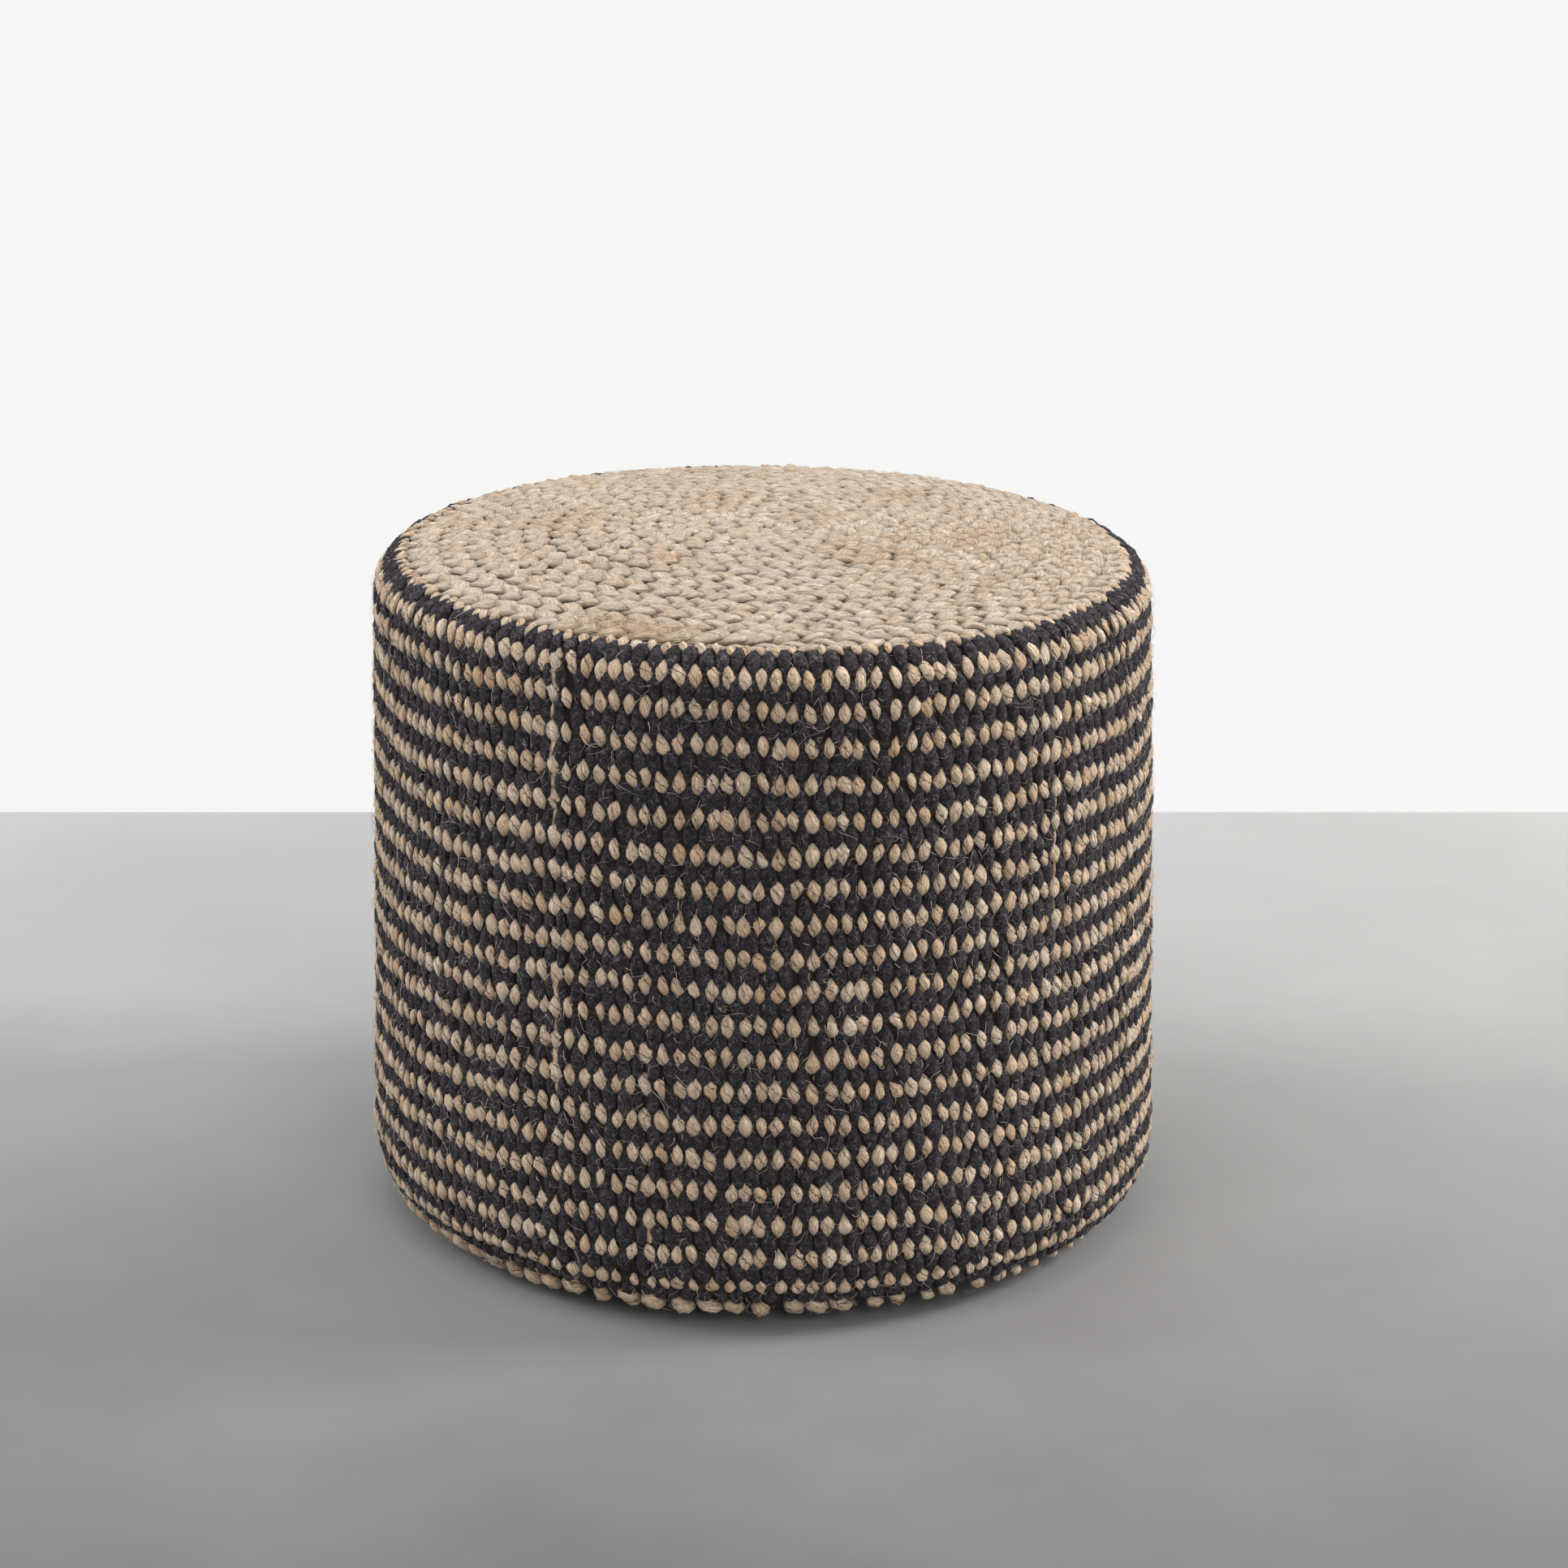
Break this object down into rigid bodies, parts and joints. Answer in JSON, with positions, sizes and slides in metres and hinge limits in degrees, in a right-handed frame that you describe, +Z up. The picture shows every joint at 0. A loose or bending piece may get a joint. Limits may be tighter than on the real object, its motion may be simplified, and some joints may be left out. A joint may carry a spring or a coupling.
{
  "type": "jute pouf",
  "caption": "Round filled pouf with a ribbed jute and charcoal wool side band and a spiral braided jute top, used as a footstool or low seat.",
  "frame": {"origin": "middle of the flat underside", "axes": "+Z up, from the flat underside to the braided top; -Y faces the side where the braid's outer end is sewn down; the pouf is round about Z"},
  "size_m": [0.5084, 0.5084, 0.4402],
  "materials": {
    "woven_band": "thick rib weave of jute and charcoal wool yarn, matt and fuzzy",
    "jute_braid": "natural jute braid, matt with a slight fibre sheen",
    "base_cloth": "plain undyed cotton canvas, matt"
  },
  "bodies": {
    "root": {"woven_body": "woven_band", "braided_top": "jute_braid", "base_panel": "base_cloth"}
  },
  "joints": []
}
